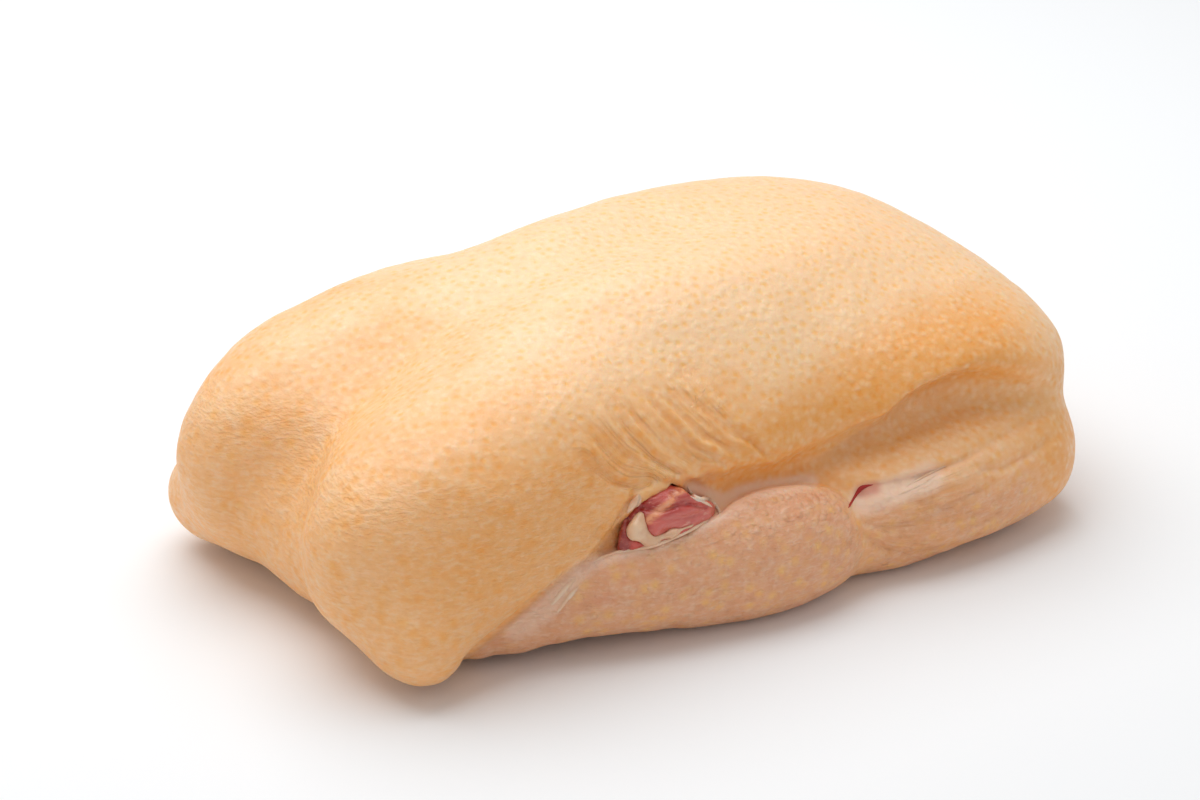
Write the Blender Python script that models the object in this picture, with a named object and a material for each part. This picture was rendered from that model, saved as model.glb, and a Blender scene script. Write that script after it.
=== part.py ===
"""A raw whole duck, plucked and dressed for the oven, lying on its back.

The bird lies breast up with its legs tucked under the skin at the tail end (-X) and its wings,
cut off at the elbow, pressed along its sides. +X is the neck end and +Z is up. The skin is one
closed surface: muscles are ellipsoids and tapered limbs in a distance field, blended as skin
drawn over them would be, and the zero level of the field becomes a mesh with a flat underside.
Each cut wing shows its meat and the pale gristle of the joint, as solids of their own that sit
in a pocket of the skin.
"""

import math

import bpy
import numpy as np
import openvdb

# All lengths are in metres.
MM = 0.001
LEFT = -1.0  # the bird's left side, which is at -Y as it lies on its back
RIGHT = 1.0

# Driving dimensions of the body
TRUNK_CENTRE = (0.002, 0.0, 0.043)
TRUNK_RADII = (0.132, 0.083, 0.0445)
BREAST_CENTRE = (0.0175, 0.0225, 0.055)
BREAST_RADII = (0.103, 0.039, 0.045)
NECK_END_CENTRE = (0.068, 0.0, 0.0495)
NECK_END_RADII = (0.066, 0.044, 0.045)
FRONT_CENTRE = (0.080, 0.0445, 0.048)
FRONT_RADII = (0.061, 0.0545, 0.032)
SHOULDER_CENTRE = (0.073, 0.071, 0.0225)
SHOULDER_RADII = (0.060, 0.037, 0.025)
THIGH_CENTRE = (-0.0885, 0.039, 0.045)
THIGH_RADII = (0.065, 0.033, 0.0415)
HOCK_START = (-0.103, 0.0485, 0.044)
HOCK_END = (-0.1295, 0.063, 0.0195)
HOCK_RADII = (0.028, 0.0155)
TAIL_CENTRE = (-0.1085, 0.0, 0.028)
TAIL_RADII = (0.035, 0.0445, 0.0295)
BACK_CENTRE = (-0.005, 0.0, 0.030)
BACK_RADII = (0.110, 0.064, 0.036)

# The wing, from the shoulder back to its tip under the thigh
WING_POINTS = (
    (0.011, 0.083, 0.0195),
    (-0.018, 0.078, 0.0205),
    (-0.066, 0.069, 0.0225),
    (-0.106, 0.060, 0.0115),
)
WING_RADII = (0.0200, 0.0222, 0.0180, 0.0085)

# Hollows: under the edge of the breast, behind the wing, and the slit above the shoulder
UNDER_BREAST_CENTRE = (0.070, 0.1010, 0.0507)
UNDER_BREAST_RADII = (0.055, 0.0175, 0.0158)
BEHIND_WING = (
    (0.034, 0.0885, 0.0470),
    (0.010, 0.0845, 0.0440),
    (-0.030, 0.0825, 0.0460),
    (-0.068, 0.0830, 0.0400),
)
BEHIND_WING_RADII = (0.0090, 0.0070, 0.0080, 0.0060)
SLIT_CENTRE = (0.035, 0.0960, 0.0302)
SLIT_RADII = (0.026, 0.0120, 0.0045)

# The cut end of the wing: its meat, and the gristle of the joint along the lower edge
MEAT_CENTRE = (-0.0440, 0.0760, 0.0415)
MEAT_RADII = (0.0185, 0.0120, 0.0130)
MEAT_LOBE_CENTRE = (-0.0585, 0.0755, 0.0375)
MEAT_LOBE_RADII = (0.0070, 0.0080, 0.0080)
GRISTLE = (
    (-0.0580, 0.0810, 0.0440),
    (-0.0550, 0.0845, 0.0390),
    (-0.0430, 0.0880, 0.0405),
    (-0.0310, 0.0870, 0.0420),
)
GRISTLE_RADII = (0.0036, 0.0046, 0.0042, 0.0020)
POCKET_GAP = 0.6 * MM
PIECE_GAP = 0.3 * MM

# Mesh sizes
SKIN_CELL = 2.0 * MM
SKIN_LOW = (-0.165, -0.120, -0.013)
SKIN_HIGH = (0.155, 0.120, 0.125)
SKIN_TRIANGLES = 9800
STUMP_CELL = 0.9 * MM
STUMP_REACH = 0.030  # how far the fine grid goes from the middle of the stump
MEAT_TRIANGLES = 700
GRISTLE_TRIANGLES = 360
FLAT_WITHIN = 0.3 * MM  # points this near the table are laid flat on it


def smooth_min(a, b, reach):
    """Union of two distances, rounded off where they meet over about the given reach."""
    share = np.clip(0.5 + 0.5 * (b - a) / reach, 0.0, 1.0)
    return b + (a - b) * share - reach * share * (1.0 - share)


def smooth_max(a, b, reach):
    """The part that two distances have in common, rounded off in the same way."""
    return -smooth_min(-a, -b, reach)


def turned(p, yaw=0.0, pitch=0.0, roll=0.0):
    """Points in the axes of a shape turned by yaw about Z, then pitch (nose up), then roll."""
    x, y, z = p
    c, s = math.cos(math.radians(yaw)), math.sin(math.radians(yaw))
    x, y = c * x + s * y, -s * x + c * y
    c, s = math.cos(math.radians(pitch)), math.sin(math.radians(pitch))
    x, z = c * x + s * z, -s * x + c * z
    c, s = math.cos(math.radians(roll)), math.sin(math.radians(roll))
    y, z = c * y + s * z, -s * y + c * z
    return x, y, z


def at_side(point, side):
    """A point given for the +Y side, moved to the side wanted."""
    return point[0], side * point[1], point[2]


def ellipsoid(p, centre, radii, yaw=0.0, pitch=0.0, roll=0.0, power=2.0):
    """Distance to an ellipsoid; a power over 2 makes it boxier."""
    q = turned([a - b for a, b in zip(p, centre)], yaw, pitch, roll)
    level = sum(np.abs(a / r) ** power for a, r in zip(q, radii)) ** (1.0 / power)
    slope = np.sqrt(sum((a / r**2) ** 2 for a, r in zip(q, radii))) + 1e-9
    length = np.sqrt(sum((a / r) ** 2 for a, r in zip(q, radii))) + 1e-9
    return (level - 1.0) * length / slope


def limb(p, start, end, start_radius, end_radius):
    """Distance to a straight tapered limb with round ends."""
    a = np.array(start, float)
    d = np.array(end, float) - a
    q = [c - k for c, k in zip(p, a)]
    t = np.clip(sum(c * k for c, k in zip(q, d)) / float(d @ d), 0.0, 1.0)
    away = [c - k * t for c, k in zip(q, d)]
    return np.sqrt(sum(c * c for c in away)) - (start_radius + (end_radius - start_radius) * t)


def chain(p, points, radii, side, reach):
    """Distance to limbs joined end to end."""
    joined = None
    for start, end, r0, r1 in zip(points, points[1:], radii, radii[1:]):
        piece = limb(p, at_side(start, side), at_side(end, side), r0, r1)
        joined = piece if joined is None else smooth_min(joined, piece, reach)
    return joined


def smooth_path(points, radii, steps):
    """Points and radii along a smooth curve through the given ones, for a limb that bends."""
    known = np.column_stack([np.array(points), np.array(radii)])
    known = np.vstack([2 * known[0] - known[1], known, 2 * known[-1] - known[-2]])
    path = []
    for a, b, c, d in zip(known, known[1:], known[2:], known[3:]):
        for t in np.arange(0.0, 1.0, 1.0 / steps):
            bend = (2 * a - 5 * b + 4 * c - d) * t**2 + (3 * b - a - 3 * c + d) * t**3
            path.append(b + 0.5 * ((c - a) * t + bend))
    path.append(known[-2])
    path = np.array(path)
    return path[:, :3], path[:, 3]


def wing(p, side):
    points, radii = smooth_path(WING_POINTS, WING_RADII, 3)
    return chain(p, points, radii, side, 0.004)


def breast(p, side):
    turn = {"yaw": side * 5.0, "pitch": -3.0, "roll": side * 14.0}
    return ellipsoid(p, at_side(BREAST_CENTRE, side), BREAST_RADII, power=2.3, **turn)


def front(p, side):
    return ellipsoid(p, at_side(FRONT_CENTRE, side), FRONT_RADII, yaw=side * 6.0, power=2.4)


def leg(p, side):
    """Thigh and drumstick under the skin, down to the knob of the hock."""
    turn = {"pitch": 11.0, "roll": side * -7.0}
    thigh = ellipsoid(p, at_side(THIGH_CENTRE, side), THIGH_RADII, power=2.3, **turn)
    hock = limb(p, at_side(HOCK_START, side), at_side(HOCK_END, side), *HOCK_RADII)
    return smooth_min(thigh, hock, 0.015)


def meat_shape(p, side):
    """The cut muscle of the wing end, before the gristle is let into it."""
    whole = ellipsoid(p, at_side(MEAT_CENTRE, side), MEAT_RADII, pitch=6.0, yaw=side * 4.0, power=2.2)
    lobe = ellipsoid(p, at_side(MEAT_LOBE_CENTRE, side), MEAT_LOBE_RADII)
    return smooth_min(whole, lobe, 0.003)


def gristle_shape(p, side):
    return chain(p, GRISTLE, GRISTLE_RADII, side, 0.002)


def stump(p, side):
    """The cut wing end as a whole, meat and gristle together."""
    return smooth_min(meat_shape(p, side), gristle_shape(p, side), 0.001)


def skin(p):
    """Distance to the bird's skin: under zero inside."""
    body = ellipsoid(p, TRUNK_CENTRE, TRUNK_RADII, power=2.7)
    body = smooth_min(body, smooth_min(breast(p, LEFT), breast(p, RIGHT), 0.008), 0.024)
    body = smooth_min(body, ellipsoid(p, NECK_END_CENTRE, NECK_END_RADII, power=2.2), 0.020)
    body = smooth_min(body, smooth_min(leg(p, LEFT), leg(p, RIGHT), 0.008), 0.018)
    body = smooth_min(body, ellipsoid(p, TAIL_CENTRE, TAIL_RADII), 0.010)
    body = smooth_min(body, ellipsoid(p, BACK_CENTRE, BACK_RADII, power=2.5), 0.010)
    for side in (LEFT, RIGHT):
        body = smooth_min(body, front(p, side), 0.016)
        hollow = ellipsoid(p, at_side(UNDER_BREAST_CENTRE, side), UNDER_BREAST_RADII, pitch=-2.0, power=2.5)
        body = smooth_max(body, -hollow, 0.003)
        body = smooth_max(body, -chain(p, BEHIND_WING, BEHIND_WING_RADII, side, 0.004), 0.004)
        body = smooth_max(body, -(stump(p, side) - POCKET_GAP), 0.001)
        shoulder = ellipsoid(p, at_side(SHOULDER_CENTRE, side), SHOULDER_RADII, yaw=side * 4.0, power=2.4)
        body = smooth_min(body, shoulder, 0.006)
        body = smooth_max(body, -ellipsoid(p, at_side(SLIT_CENTRE, side), SLIT_RADII, pitch=9.0), 0.003)
        body = smooth_min(body, wing(p, side), 0.002)
    return smooth_max(body, -p[2], 0.003)


def meat(p, side):
    """The meat of the wing end, clear of the gristle and of the skin round it."""
    cut = smooth_max(meat_shape(p, side), PIECE_GAP - gristle_shape(p, side), 0.001)
    return smooth_max(cut, POCKET_GAP - skin(p), 0.002)


def gristle(p, side):
    return smooth_max(gristle_shape(p, side), POCKET_GAP - skin(p), 0.002)


def material(name, colour, roughness):
    made = bpy.data.materials.new(name)
    made.use_nodes = True
    shader = made.node_tree.nodes["Principled BSDF"]
    shader.inputs["Base Color"].default_value = (*colour, 1.0)
    shader.inputs["Roughness"].default_value = roughness
    shader.inputs["Metallic"].default_value = 0.0
    return made


def solid_from_field(name, field, cell, low, high, triangles, finish):
    """The zero level of a distance field as a closed solid, thinned to about so many triangles."""
    axes = [np.arange(a, b, cell) for a, b in zip(low, high)]
    distance = field(tuple(np.meshgrid(*axes, indexing="ij")))
    grid = openvdb.FloatGrid()
    grid.background = 1.0
    grid.copyFromArray((distance / cell).astype(np.float32))
    points, quads = grid.convertToQuads(isovalue=0.0)
    mesh = bpy.data.meshes.new(name)
    mesh.from_pydata((points * cell + np.array(low)).tolist(), [], quads.tolist())
    mesh.materials.append(finish)
    mesh.shade_smooth()
    obj = bpy.data.objects.new(name, mesh)
    bpy.context.scene.collection.objects.link(obj)
    thin = obj.modifiers.new("Thin out", "DECIMATE")
    thin.ratio = min(1.0, triangles / (2.0 * len(quads)))
    thin.use_collapse_triangulate = True
    thinned = bpy.data.meshes.new_from_object(obj.evaluated_get(bpy.context.evaluated_depsgraph_get()))
    obj.modifiers.remove(thin)
    obj.data = thinned
    bpy.data.meshes.remove(mesh)
    thinned.name = name
    return obj


def lay_flat(obj):
    """Sets the points that touch the table exactly level, so the bird has a true flat to rest on."""
    for vertex in obj.data.vertices:
        if vertex.co.z < FLAT_WITHIN:
            vertex.co.z = 0.0


def stump_solid(name, shape, side, triangles, finish):
    """One solid of the cut wing end, on a fine grid about the stump."""
    centre = at_side(MEAT_CENTRE, side)
    low = [c - STUMP_REACH for c in centre]
    high = [c + STUMP_REACH for c in centre]
    return solid_from_field(name, lambda p: shape(p, side), STUMP_CELL, low, high, triangles, finish)


def main():
    for old in list(bpy.data.objects):
        bpy.data.objects.remove(old)
    skin_finish = material("duck skin", (0.84, 0.56, 0.31), 0.48)
    meat_finish = material("wing meat", (0.50, 0.10, 0.08), 0.35)
    gristle_finish = material("wing gristle", (0.78, 0.62, 0.46), 0.40)
    duck = solid_from_field("duck", skin, SKIN_CELL, SKIN_LOW, SKIN_HIGH, SKIN_TRIANGLES, skin_finish)
    lay_flat(duck)
    for side, word in ((LEFT, "left"), (RIGHT, "right")):
        stump_solid(word + "_wing_meat", meat, side, MEAT_TRIANGLES, meat_finish)
        stump_solid(word + "_wing_gristle", gristle, side, GRISTLE_TRIANGLES, gristle_finish)


main()
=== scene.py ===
# %% [markdown]
# # A raw whole duck
#
# A plucked duck, dressed for the oven, lies on its back: breast up, legs tucked under the skin,
# wings cut at the elbow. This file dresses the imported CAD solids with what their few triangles
# leave out: wrinkles, creases, the flap of skin over the wing, the feather follicles and the
# wet meat of the cut wing end. Every length is in metres, in the frame of the CAD model.

import math

import bpy
import numpy as np
import openvdb
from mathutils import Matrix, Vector
from mathutils.bvhtree import BVHTree


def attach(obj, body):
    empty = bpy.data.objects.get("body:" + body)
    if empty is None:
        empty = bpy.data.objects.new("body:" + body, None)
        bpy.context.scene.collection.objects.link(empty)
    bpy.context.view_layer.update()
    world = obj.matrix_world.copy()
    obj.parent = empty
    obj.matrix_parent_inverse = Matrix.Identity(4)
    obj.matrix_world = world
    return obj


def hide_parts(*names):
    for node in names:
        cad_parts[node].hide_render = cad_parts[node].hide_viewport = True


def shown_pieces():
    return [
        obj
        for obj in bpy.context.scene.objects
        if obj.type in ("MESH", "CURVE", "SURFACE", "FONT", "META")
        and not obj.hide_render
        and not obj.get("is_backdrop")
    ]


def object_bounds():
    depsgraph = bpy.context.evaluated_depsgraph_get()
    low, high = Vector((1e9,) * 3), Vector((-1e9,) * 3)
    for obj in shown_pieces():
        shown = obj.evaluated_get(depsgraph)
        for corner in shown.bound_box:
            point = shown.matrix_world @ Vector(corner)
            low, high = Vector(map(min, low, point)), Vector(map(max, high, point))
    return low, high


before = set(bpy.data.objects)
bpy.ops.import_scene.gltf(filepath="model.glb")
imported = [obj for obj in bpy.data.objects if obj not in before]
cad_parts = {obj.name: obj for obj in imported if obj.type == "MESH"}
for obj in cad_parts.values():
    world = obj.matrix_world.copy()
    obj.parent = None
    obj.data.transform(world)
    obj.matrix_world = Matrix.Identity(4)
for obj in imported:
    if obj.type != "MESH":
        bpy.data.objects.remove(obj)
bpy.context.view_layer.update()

# %% [markdown]
# ## The shape as a distance field
#
# Skin over muscle has no edges of its own: each muscle is a round lump, and the skin bridges
# from one to the next. A distance field says that directly. Each muscle is an ellipsoid or a
# tapered limb, and a smooth minimum joins two of them with a fillet as wide as the skin would
# bridge. The CAD model was made from a field of the same muscles, so what is made here lies on
# it, only finer.

# %% Blends and simple shapes
MM = 0.001
LEFT = -1.0  # the bird's left side, which is at -Y as it lies on its back
RIGHT = 1.0


def smooth_min(a, b, reach):
    """Union of two distances, rounded off where they meet over about the given reach."""
    share = np.clip(0.5 + 0.5 * (b - a) / reach, 0.0, 1.0)
    return b + (a - b) * share - reach * share * (1.0 - share)


def smooth_max(a, b, reach):
    """The part that two distances have in common, rounded off in the same way."""
    return -smooth_min(-a, -b, reach)


def turned(p, yaw=0.0, pitch=0.0, roll=0.0):
    """Points in the axes of a shape turned by yaw about Z, then pitch (nose up), then roll."""
    x, y, z = p
    c, s = math.cos(math.radians(yaw)), math.sin(math.radians(yaw))
    x, y = c * x + s * y, -s * x + c * y
    c, s = math.cos(math.radians(pitch)), math.sin(math.radians(pitch))
    x, z = c * x + s * z, -s * x + c * z
    c, s = math.cos(math.radians(roll)), math.sin(math.radians(roll))
    y, z = c * y + s * z, -s * y + c * z
    return x, y, z


def at_side(point, side):
    """A point given for the +Y side, moved to the side wanted."""
    return point[0], side * point[1], point[2]


def ellipsoid(p, centre, radii, yaw=0.0, pitch=0.0, roll=0.0, power=2.0):
    """Distance to an ellipsoid; a power over 2 makes it boxier."""
    q = turned([a - b for a, b in zip(p, centre)], yaw, pitch, roll)
    level = sum(np.abs(a / r) ** power for a, r in zip(q, radii)) ** (1.0 / power)
    slope = np.sqrt(sum((a / r**2) ** 2 for a, r in zip(q, radii))) + 1e-9
    length = np.sqrt(sum((a / r) ** 2 for a, r in zip(q, radii))) + 1e-9
    return (level - 1.0) * length / slope


def limb(p, start, end, start_radius, end_radius):
    """Distance to a straight tapered limb with round ends."""
    a = np.array(start, float)
    d = np.array(end, float) - a
    q = [c - k for c, k in zip(p, a)]
    t = np.clip(sum(c * k for c, k in zip(q, d)) / float(d @ d), 0.0, 1.0)
    away = [c - k * t for c, k in zip(q, d)]
    return np.sqrt(sum(c * c for c in away)) - (start_radius + (end_radius - start_radius) * t)


def chain(p, points, radii, side, reach):
    """Distance to limbs joined end to end."""
    joined = None
    for start, end, r0, r1 in zip(points, points[1:], radii, radii[1:]):
        piece = limb(p, at_side(start, side), at_side(end, side), r0, r1)
        joined = piece if joined is None else smooth_min(joined, piece, reach)
    return joined


def smooth_path(points, radii, steps):
    """Points and radii along a smooth curve through the given ones, for a limb that bends."""
    known = np.column_stack([np.array(points), np.array(radii)])
    known = np.vstack([2 * known[0] - known[1], known, 2 * known[-1] - known[-2]])
    path = []
    for a, b, c, d in zip(known, known[1:], known[2:], known[3:]):
        for t in np.arange(0.0, 1.0, 1.0 / steps):
            bend = (2 * a - 5 * b + 4 * c - d) * t**2 + (3 * b - a - 3 * c + d) * t**3
            path.append(b + 0.5 * ((c - a) * t + bend))
    path.append(known[-2])
    path = np.array(path)
    return path[:, :3], path[:, 3]


# %% The muscles and bones, as in the CAD model
def breast(p, side):
    turn = {"yaw": side * 5.0, "pitch": -3.0, "roll": side * 14.0}
    centre = at_side((0.0175, 0.0225, 0.055), side)
    return ellipsoid(p, centre, (0.103, 0.039, 0.045), power=2.3, **turn)


def front(p, side):
    centre = at_side((0.080, 0.0445, 0.048), side)
    return ellipsoid(p, centre, (0.061, 0.0545, 0.032), yaw=side * 6.0, power=2.4)


def shoulder(p, side):
    centre = at_side((0.073, 0.071, 0.0225), side)
    return ellipsoid(p, centre, (0.060, 0.037, 0.025), yaw=side * 4.0, power=2.4)


def leg(p, side):
    """Thigh and drumstick under the skin, down to the knob of the hock."""
    turn = {"pitch": 11.0, "roll": side * -7.0}
    centre = at_side((-0.0885, 0.039, 0.045), side)
    thigh = ellipsoid(p, centre, (0.065, 0.033, 0.0415), power=2.3, **turn)
    knee = at_side((-0.103, 0.0485, 0.044), side)
    hock = limb(p, knee, at_side((-0.1295, 0.063, 0.0195), side), 0.028, 0.0155)
    return smooth_min(thigh, hock, 0.015)


WING_POINTS = (
    (0.011, 0.083, 0.0195), (-0.018, 0.078, 0.0205), (-0.066, 0.069, 0.0225), (-0.106, 0.060, 0.0115),
)
WING_RADII = (0.0200, 0.0222, 0.0180, 0.0085)


def wing(p, side):
    points, radii = smooth_path(WING_POINTS, WING_RADII, 3)
    return chain(p, points, radii, side, 0.004)


def meat_shape(p, side):
    """The cut muscle of the wing end, before the gristle is let into it."""
    turn = {"pitch": 6.0, "yaw": side * 4.0}
    centre = at_side((-0.0440, 0.0760, 0.0415), side)
    whole = ellipsoid(p, centre, (0.0185, 0.0120, 0.0130), power=2.2, **turn)
    lobe = ellipsoid(p, at_side((-0.0585, 0.0755, 0.0375), side), (0.0070, 0.0080, 0.0080))
    return smooth_min(whole, lobe, 0.003)


# %% The body under its skin
BEHIND_WING = (
    (0.034, 0.0885, 0.0470), (0.010, 0.0845, 0.0440), (-0.030, 0.0825, 0.0460), (-0.068, 0.0830, 0.0400),
)
BEHIND_WING_RADII = (0.0090, 0.0062, 0.0066, 0.0060)
POCKET_GAP = -0.4 * MM  # the skin hugs the meat, so no dark gap shows between them


def trunk(p):
    """The body without what lies at its sides."""
    body = ellipsoid(p, (0.002, 0.0, 0.043), (0.132, 0.083, 0.0445), power=2.7)
    body = smooth_min(body, smooth_min(breast(p, LEFT), breast(p, RIGHT), 0.008), 0.024)
    body = smooth_min(body, ellipsoid(p, (0.068, 0.0, 0.0495), (0.066, 0.044, 0.045), power=2.2), 0.020)
    body = smooth_min(body, smooth_min(leg(p, LEFT), leg(p, RIGHT), 0.008), 0.018)
    body = smooth_min(body, ellipsoid(p, (-0.1085, 0.0, 0.028), (0.035, 0.0445, 0.0295)), 0.010)
    return smooth_min(body, ellipsoid(p, (-0.005, 0.0, 0.030), (0.110, 0.064, 0.036), power=2.5), 0.010)


# %% [markdown]
# ## From field to mesh
#
# A volume grid holds the distance at every cell, and its zero level comes out as a mesh of even
# quads. Working out the field in every cell would be slow, and only cells near the surface
# matter. So it is first found on a coarse grid, and then again finely in the blocks that the
# surface may cross.

# %% Mesh from a field
BLOCK = 4  # fine cells along the side of a coarse block


def surface_of(field, cell, low, high):
    """Points and outward quads of the zero level of a distance field."""
    step = cell * BLOCK
    axes = [np.arange(a, b, step) for a, b in zip(low, high)]
    coarse = field(tuple(np.meshgrid(*axes, indexing="ij")))
    near = np.argwhere(np.abs(coarse) < 2.4 * step)
    fine = np.repeat(np.repeat(np.repeat(coarse, BLOCK, 0), BLOCK, 1), BLOCK, 2)
    inner = np.stack(np.meshgrid(*[np.arange(BLOCK)] * 3, indexing="ij"), -1).reshape(-1, 3)
    for some in np.array_split(near, max(1, len(near) // 8000)):
        at = (some[:, None, :] * BLOCK + inner[None]).reshape(-1, 3)
        fine[at[:, 0], at[:, 1], at[:, 2]] = field(tuple(at[:, k] * cell + low[k] for k in range(3)))
    grid = openvdb.FloatGrid()
    grid.background = 5.0
    grid.copyFromArray(np.clip(fine / cell, -5.0, 5.0).astype(np.float32))
    points, quads = grid.convertToQuads(isovalue=0.0)
    return points * cell + np.array(low), quads


def mesh_object(name, points, faces):
    mesh = bpy.data.meshes.new(name)
    mesh.from_pydata(points.tolist(), [], faces.tolist())
    mesh.shade_smooth()
    obj = bpy.data.objects.new(name, mesh)
    bpy.context.scene.collection.objects.link(obj)
    return obj


def baked(obj):
    """Turns what an object's modifiers make of it into its own plain mesh."""
    old = obj.data
    new = bpy.data.meshes.new_from_object(obj.evaluated_get(bpy.context.evaluated_depsgraph_get()))
    obj.modifiers.clear()
    obj.data = new
    bpy.data.meshes.remove(old)
    new.name = obj.name
    return obj


def triangles_of(obj):
    return sum(len(face.vertices) - 2 for face in obj.data.polygons)


def thinned(obj, triangles):
    """Collapses edges where the surface is plain, until about so many triangles are left."""
    count = triangles_of(obj)
    if count > triangles:
        thin = obj.modifiers.new("Thin out", "DECIMATE")
        thin.ratio = triangles / count
        baked(obj)
    obj.data.shade_smooth()
    return obj


def points_of(obj):
    flat = np.empty(len(obj.data.vertices) * 3)
    obj.data.vertices.foreach_get("co", flat)
    return flat.reshape(-1, 3)


def normals_of(obj):
    flat = np.empty(len(obj.data.vertices) * 3, np.float32)
    obj.data.vertex_normals.foreach_get("vector", flat)
    return flat.reshape(-1, 3).astype(float)


def move_points(obj, points):
    obj.data.vertices.foreach_set("co", points.ravel())
    obj.data.update()


def store(obj, name, values):
    """Keeps one number per point on the mesh, for its material to read."""
    layer = obj.data.attributes.new(name, "FLOAT", "POINT")
    layer.data.foreach_set("value", values.astype(np.float32))


# %% Smooth random relief
def noise(p, size, seed):
    """Smooth random numbers from about -1 to 1, in lumps of the given size."""
    q = [np.asarray(c) / size for c in p]
    cell = [np.floor(c).astype(np.int64) for c in q]
    t = [c - k for c, k in zip(q, cell)]
    t = [c * c * (3.0 - 2.0 * c) for c in t]
    total = 0.0
    for corner in range(8):
        d = (corner & 1, corner >> 1 & 1, corner >> 2 & 1)
        key = sum((k + e) * f for k, e, f in zip(cell, d, (73856093, 19349663, 83492791))) + seed * 2654435761
        key = (key ^ (key >> 13)) * 1274126177 & 0x7FFFFFFF
        key = (key ^ (key >> 16)) * 668265263 & 0x7FFFFFFF
        value = (key >> 8) % 65536 / 32767.5 - 1.0
        weight = 1.0
        for c, e in zip(t, d):
            weight = weight * (c if e else 1.0 - c)
        total = total + weight * value
    return total


# %% [markdown]
# ## Where the photograph shows a crease
#
# Creases, flaps and colours are placed by where they show in the photograph. The camera is
# known, so each point of the bird has a place in the picture, and a crease can be written as a
# path of picture points. The far side is not seen, and gets the same creases mirrored.

# %% The photograph's camera
PICTURE = (1200, 800)
VIEW_TURN = math.radians(37.0)
VIEW_RISE = math.radians(25.5)
VIEW_DISTANCE = 1.16
PIXELS_PER_METRE = 2880.0  # at the target
RIGHTWARD = np.array((math.cos(VIEW_TURN), -math.sin(VIEW_TURN), 0.0))
LEVEL = np.array((math.sin(VIEW_TURN), math.cos(VIEW_TURN), 0.0))
FORWARD = LEVEL * math.cos(VIEW_RISE) - np.array((0.0, 0.0, math.sin(VIEW_RISE)))
UPWARD = np.cross(RIGHTWARD, FORWARD)
TARGET = np.array((0.0, 0.0, 0.0413)) - 0.0094 * RIGHTWARD
EYE = TARGET - VIEW_DISTANCE * FORWARD
FOCAL = PIXELS_PER_METRE * VIEW_DISTANCE


def in_picture(p, side=LEFT):
    """Pixels across and down at which a point of the left side shows; one of the right is mirrored."""
    q = [p[0] - EYE[0], p[1] * -side - EYE[1], p[2] - EYE[2]]
    ahead = sum(a * b for a, b in zip(q, FORWARD))
    across = sum(a * b for a, b in zip(q, RIGHTWARD)) / ahead
    up = sum(a * b for a, b in zip(q, UPWARD)) / ahead
    return PICTURE[0] / 2 + FOCAL * across, PICTURE[1] / 2 - FOCAL * up


def from_path(u, v, path):
    """Distance in pixels to a path in the picture, share of the way along it, and side of it."""
    best = np.full(np.shape(u), 1e9)
    along = np.zeros(np.shape(u))
    beside = np.ones(np.shape(u))
    count = len(path) - 1
    for k, ((x0, y0), (x1, y1)) in enumerate(zip(path, path[1:])):
        dx, dy = x1 - x0, y1 - y0
        t = np.clip(((u - x0) * dx + (v - y0) * dy) / (dx * dx + dy * dy), 0.0, 1.0)
        away = np.hypot(u - x0 - t * dx, v - y0 - t * dy)
        closer = away < best
        best = np.where(closer, away, best)
        along = np.where(closer, (k + t) / count, along)
        beside = np.where(closer, np.sign((v - y0) * dx - (u - x0) * dy), beside)
    return best, along, beside


def step_up(value, start, end):
    """Goes smoothly from 0 at start to 1 at end."""
    t = np.clip((value - start) / (end - start), 0.0, 1.0)
    return t * t * (3.0 - 2.0 * t)


def falloff(away, width):
    """1 at no distance, falling softly to 0 over about twice the width."""
    return np.exp(-((away / width) ** 2))


def near_path(u, v, path, core, edge):
    """1 near a path in the picture, falling to 0 at its edge."""
    away, along, beside = from_path(u, v, path)
    return 1.0 - step_up(away, core, edge)


# %% Camera
camera_data = bpy.data.cameras.new("camera")
camera_data.sensor_width = 36.0
camera_data.lens = camera_data.sensor_width * FOCAL / PICTURE[0]
camera_data.clip_start = 0.05
camera = bpy.data.objects.new("camera", camera_data)
camera.location = EYE
camera.rotation_mode = "QUATERNION"
camera.rotation_quaternion = Vector(FORWARD).to_track_quat("-Z", "Y")
bpy.context.scene.collection.objects.link(camera)
bpy.context.scene.camera = camera
print("lens (mm):", round(camera_data.lens, 1))

# %% [markdown]
# ## The skin as one surface
#
# The duck's skin is one sheet from neck to tail: it wraps the wings, hangs over them at the
# thigh, and is cut off at the wing's elbow. The wing is joined to the body with a small fillet,
# so a crease stays between them. The flap at the thigh is a thin shell over the wing, kept only
# behind the edge that shows in the photograph. The wing's own cut edge follows its rim in the
# photograph too, and the skin over the shoulder runs on into it.

# %% Flap, rim and slit
FLAP_EDGE = (
    (440, 690), (475, 652), (512, 621), (542, 596), (567, 576), (588, 562), (604, 545),
    (617, 528), (624, 512), (636, 493), (662, 480),
)
WING_RIM = (
    (540, 590), (572, 570), (590, 562), (617, 552), (647, 546), (675, 536), (700, 523), (722, 512),
    (733, 502), (750, 493), (772, 488), (800, 485), (825, 487), (840, 493), (849, 504), (855, 519),
    (868, 534), (900, 548),
)
OPENING = (
    (618, 554), (621, 532), (626, 516), (634, 504), (642, 492), (655, 487), (668, 486), (682, 490),
    (690, 497), (701, 500), (712, 504), (720, 513),
)
GRISTLE = ((641, 516), (637, 531), (650, 541), (673, 533), (693, 525))
GRISTLE_RADII = (0.0016, 0.0026, 0.0015, 0.0006, 0.0003)
RIDGE = (
    (680, 500), (760, 486), (777, 476), (804, 465), (828, 451), (848, 438), (872, 424), (889, 410),
    (903, 397), (920, 385), (944, 375), (964, 367), (984, 361), (1012, 360), (1080, 372),
)
FLAP_THICKNESS = 2.2 * MM
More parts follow.
